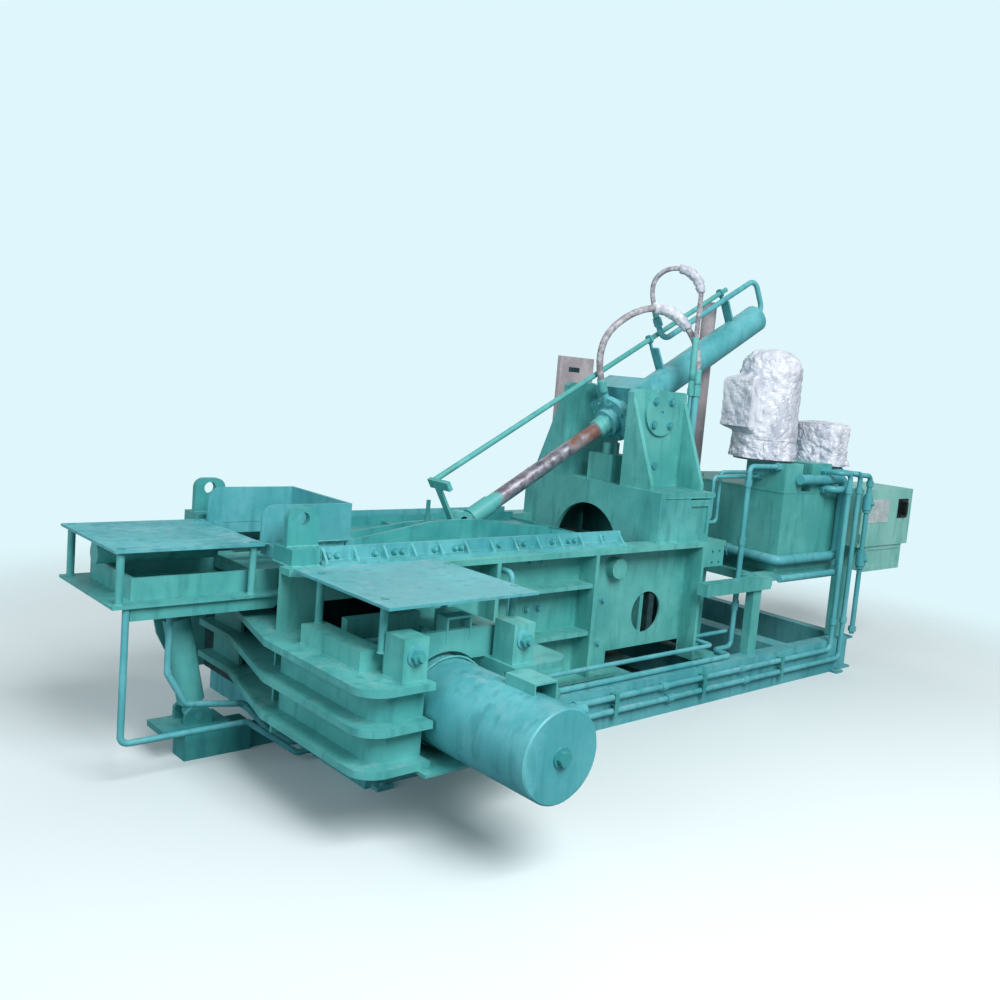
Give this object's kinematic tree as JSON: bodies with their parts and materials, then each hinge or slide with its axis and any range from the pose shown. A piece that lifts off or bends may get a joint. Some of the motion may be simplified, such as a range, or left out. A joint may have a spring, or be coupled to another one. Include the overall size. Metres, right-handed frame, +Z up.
{
  "type": "scrap metal baler",
  "caption": "Hydraulic scrap baler with hinged press lid, main and side rams, bale gate, deck plates, oil tank, wrapped motors and control cabinet.",
  "frame": {"origin": "on the floor, on the machine's centreline, under the side ram's axis", "axes": "+X towards the power pack, +Y away from the side ram's cylinder, +Z up"},
  "size_m": [4.875, 2.402, 2.282],
  "materials": {
    "teal_paint": "semi-gloss, brushed on",
    "rod_steel": "ground, dusty",
    "hose_rubber": "wrapped in dusty film",
    "film": "crinkled stretch film",
    "motor_paint": "satin",
    "pale_paint": "matt",
    "black_plastic": "gloss"
  },
  "bodies": {
    "frame": {"arch_plate": "teal_paint", "bale_chamber": "teal_paint", "base_frame": "teal_paint", "cabinet": "teal_paint", "cabinet_frame": "teal_paint", "clamp_blocks": "teal_paint", "cylinder_guard": "teal_paint", "deck_posts": "teal_paint", "ejector_foot": "teal_paint", "far_box": "pale_paint", "frame_bolts": "teal_paint", "gate_barrel": "teal_paint", "gate_housing": "teal_paint", "hose_barrel": "hose_rubber", "hose_gland": "hose_rubber", "housing_blocks": "teal_paint", "left_deck": "teal_paint", "lifting_ears": "teal_paint", "main_cylinder": "teal_paint", "motor_1": "motor_paint", "motor_2": "motor_paint", "motor_wraps": "film", "near_deck": "teal_paint", "oil_pipes": "teal_paint", "outlet_guide": "teal_paint", "pack_stand": "teal_paint", "pipe_clips": "teal_paint", "ram_frame_left": "teal_paint", "ram_frame_right": "teal_paint", "ram_housing": "teal_paint", "riser": "pale_paint", "shear_strips": "teal_paint", "side_cylinder": "teal_paint", "side_plug": "teal_paint", "tank": "teal_paint", "tower_far": "teal_paint", "tower_near": "teal_paint", "trunnion_covers": "teal_paint", "valve_blocks": "teal_paint", "wall_far": "teal_paint", "wall_near": "teal_paint"},
    "lid": {"lid": "teal_paint", "lid_hinge_pins": "rod_steel", "lid_pin": "rod_steel"},
    "lid_cylinder": {"lid_barrel": "teal_paint", "barrel_pipe": "teal_paint"},
    "lid_rod": {"lid_rod": "rod_steel", "lid_indicator": "teal_paint"},
    "main_ram": {"main_ram": "teal_paint", "main_rod": "rod_steel"},
    "side_ram": {"side_ram": "teal_paint", "side_rod": "rod_steel"},
    "gate": {"gate_slab": "teal_paint", "gate_rod": "rod_steel"},
    "ejector_cylinder": {"ejector_barrel": "teal_paint"},
    "ejector_rod": {"ejector_rod": "rod_steel"},
    "ejector_lever": {"ejector_lever": "teal_paint"},
    "door": {"cabinet_door": "teal_paint"},
    "switch": {"rotary_switch": "black_plastic"}
  },
  "joints": [
    {"name": "lid_hinge", "type": "hinge", "parent": "frame", "child": "lid", "pos_m": [1.4, 0, 0.706], "axis": [0, 1, 0], "range_deg": [0, 45]},
    {"name": "lid_trunnion", "type": "hinge", "parent": "frame", "child": "lid_cylinder", "pos_m": [1.855, 0, 1.457], "axis": [0, 1, 0], "range_deg": [0, 12.9], "deforming": ["hose_gland", "hose_barrel"]},
    {"name": "lid_rod_slide", "type": "slide", "parent": "lid_cylinder", "child": "lid_rod", "axis": [0.8684, 0, 0.4959], "range_m": [0, 0.4065]},
    {"name": "main_ram_slide", "type": "slide", "parent": "frame", "child": "main_ram", "axis": [-1, 0, 0], "range_m": [0, 0.7]},
    {"name": "side_ram_slide", "type": "slide", "parent": "frame", "child": "side_ram", "axis": [0, 1, 0], "range_m": [0, 0.35]},
    {"name": "gate_slide", "type": "slide", "parent": "frame", "child": "gate", "axis": [-1, 0, 0], "range_m": [0, 0.335]},
    {"name": "ejector_tilt", "type": "hinge", "parent": "frame", "child": "ejector_cylinder", "pos_m": [-0.444, -0.028, 0.17], "axis": [0, 1, 0], "range_deg": [0, 0.3]},
    {"name": "ejector_slide", "type": "slide", "parent": "ejector_cylinder", "child": "ejector_rod", "axis": [-0.2081, 0, 0.9781], "range_m": [0, 0.0275]},
    {"name": "ejector_lift", "type": "hinge", "parent": "frame", "child": "ejector_lever", "pos_m": [-0.64, 0, 0.6], "axis": [0, -1, 0], "range_deg": [0, 15]},
    {"name": "door_hinge", "type": "hinge", "parent": "frame", "child": "door", "pos_m": [3.403, -0.609, 0.905], "axis": [0, 0, -1], "range_deg": [0, 110]},
    {"name": "switch_turn", "type": "hinge", "parent": "door", "child": "switch", "pos_m": [3.9, -0.609, 0.96], "axis": [0, -1, 0], "range_deg": [0, 90]}
  ],
  "couplings": [
    {"joint": "lid_trunnion", "follows": "lid_hinge", "ratio": 0.28618},
    {"joint": "lid_rod_slide", "follows": "lid_hinge", "m_per_rad": 0.51712},
    {"joint": "ejector_slide", "follows": "ejector_lift", "m_per_rad": 0.1039},
    {"joint": "ejector_tilt", "follows": "ejector_lift", "ratio": 0.0171}
  ]
}
